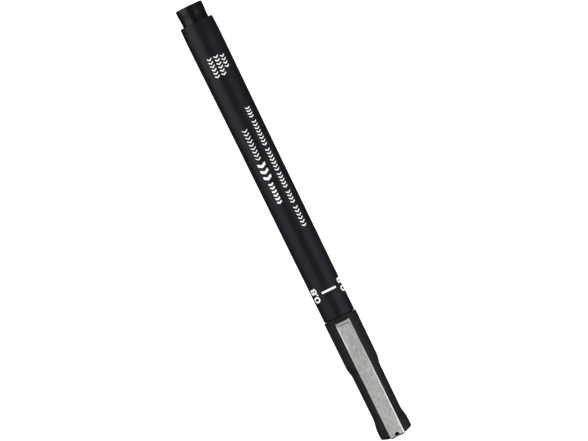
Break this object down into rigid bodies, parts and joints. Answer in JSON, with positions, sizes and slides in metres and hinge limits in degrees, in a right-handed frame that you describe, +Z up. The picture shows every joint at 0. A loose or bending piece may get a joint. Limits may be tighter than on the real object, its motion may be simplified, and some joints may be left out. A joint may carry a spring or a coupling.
{
  "type": "capped fineliner drawing pen",
  "caption": "Slim capped fineliner drawing pen: tapered barrel with tail stub, waisted pull-off cap with steel pocket clip, fibre reservoir and fine nib inside.",
  "frame": {"origin": "on the surface the pen lies on, below the middle of its length and of its width", "axes": "+X along the pen from the tail to the closed end of the cap, +Z up through the clip, +Y across"},
  "size_m": [0.138, 0.0104, 0.0113],
  "materials": {
    "barrel_plastic": "satin",
    "tail_plastic": "satin",
    "holder_plastic": "satin",
    "pipe_steel": "polished",
    "nib_plastic": "matte",
    "ink_fibre": "matte",
    "film_plastic": "gloss",
    "cap_plastic": "matte",
    "inner_cap_plastic": "satin",
    "clip_steel": "brushed",
    "print_ink": "satin"
  },
  "bodies": {
    "pen": {"barrel": "barrel_plastic", "tail_plug": "tail_plastic", "nib_holder": "holder_plastic", "nib_pipe": "pipe_steel", "nib": "nib_plastic", "ink_reservoir": "ink_fibre", "reservoir_film": "film_plastic"},
    "cap": {"cap_shell": "cap_plastic", "inner_cap": "inner_cap_plastic"},
    "clip": {"clip": "clip_steel"}
  },
  "joints": [
    {"name": "cap_pull", "type": "slide", "parent": "pen", "child": "cap", "axis": [1, 0, 0], "range_m": [0, 0.04]},
    {"name": "clip_flex", "type": "hinge", "parent": "cap", "child": "clip", "pos_m": [0.0674, 0, 0.0087], "axis": [0, 1, 0], "range_deg": [0, 4], "stiffness_Nm_per_rad": 4, "springref_deg": -0.46}
  ]
}
